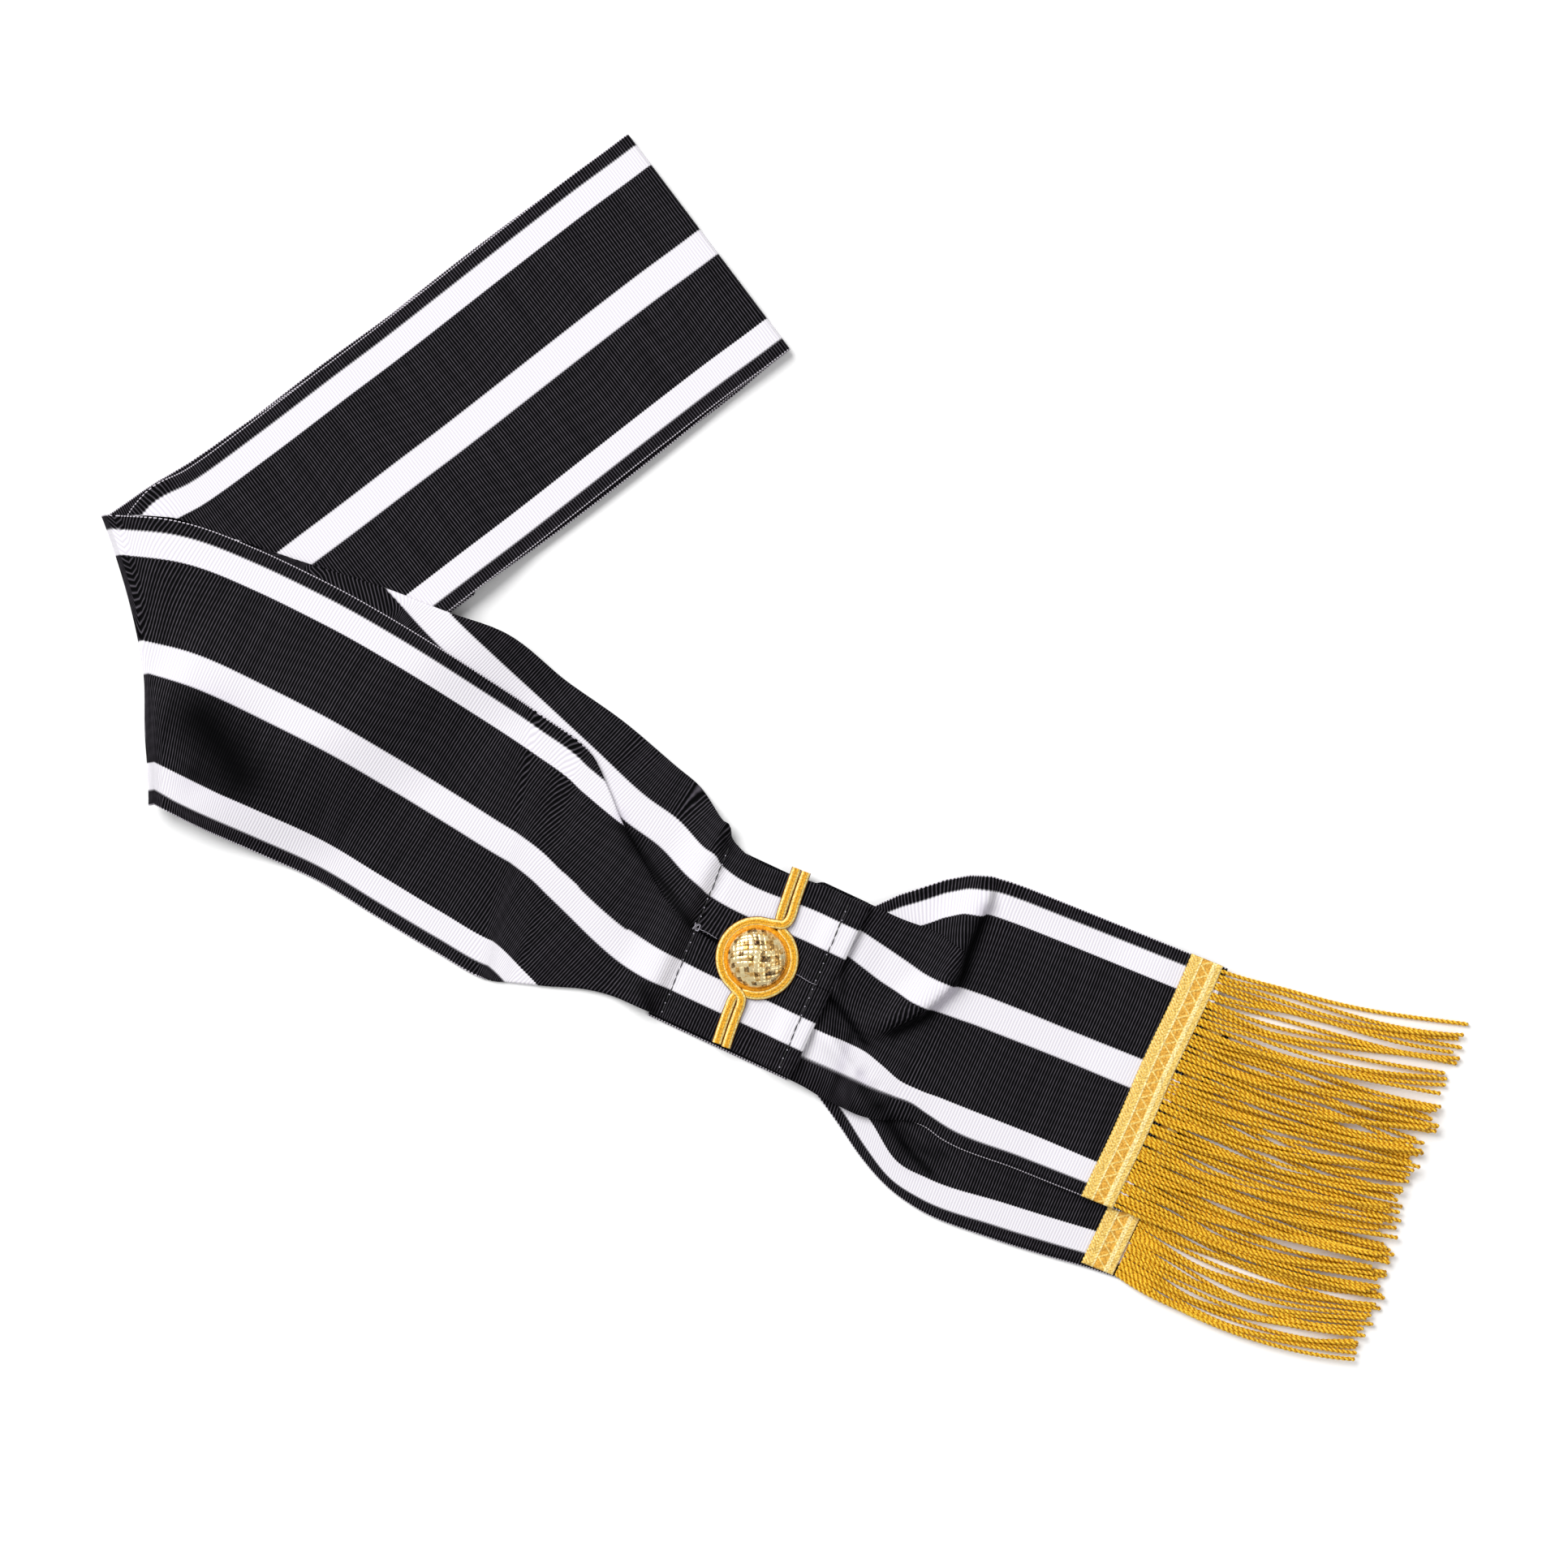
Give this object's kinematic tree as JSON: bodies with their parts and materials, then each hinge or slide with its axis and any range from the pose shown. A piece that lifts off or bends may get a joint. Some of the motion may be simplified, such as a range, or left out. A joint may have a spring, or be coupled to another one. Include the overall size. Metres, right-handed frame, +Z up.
{
  "type": "sash of an order",
  "caption": "Striped ribbon sash folded flat as one loop, joined at a stitched hip joint with a corded button, and ending in two tails with braid and twisted cord fringe.",
  "frame": {"origin": "middle of the outline in plan, on the surface that the folded sash lies on", "axes": "+X from the fold towards the fringe, +Y towards the upper arm of the loop, +Z up out of the surface"},
  "size_m": [0.5058, 0.454, 0.0116],
  "materials": {
    "ribbon": "ribbed silk ribbon, black with white stripes",
    "backing": "matt black cloth",
    "gold_braid": "woven gilt braid",
    "gold_fringe": "twisted gilt cord",
    "gold_cord": "flat two-ridged silk braid",
    "button_satin": "satin",
    "button_gilt": "polished woven gilt strip"
  },
  "bodies": {
    "root": {"sash_ribbon": "ribbon", "hip_backing": "backing", "back_tail": "ribbon", "front_tail": "ribbon", "back_fringe": "gold_fringe", "front_fringe": "gold_fringe", "button_cord": "gold_cord", "button_rim": "button_satin", "button_dome": "button_gilt"}
  },
  "joints": []
}
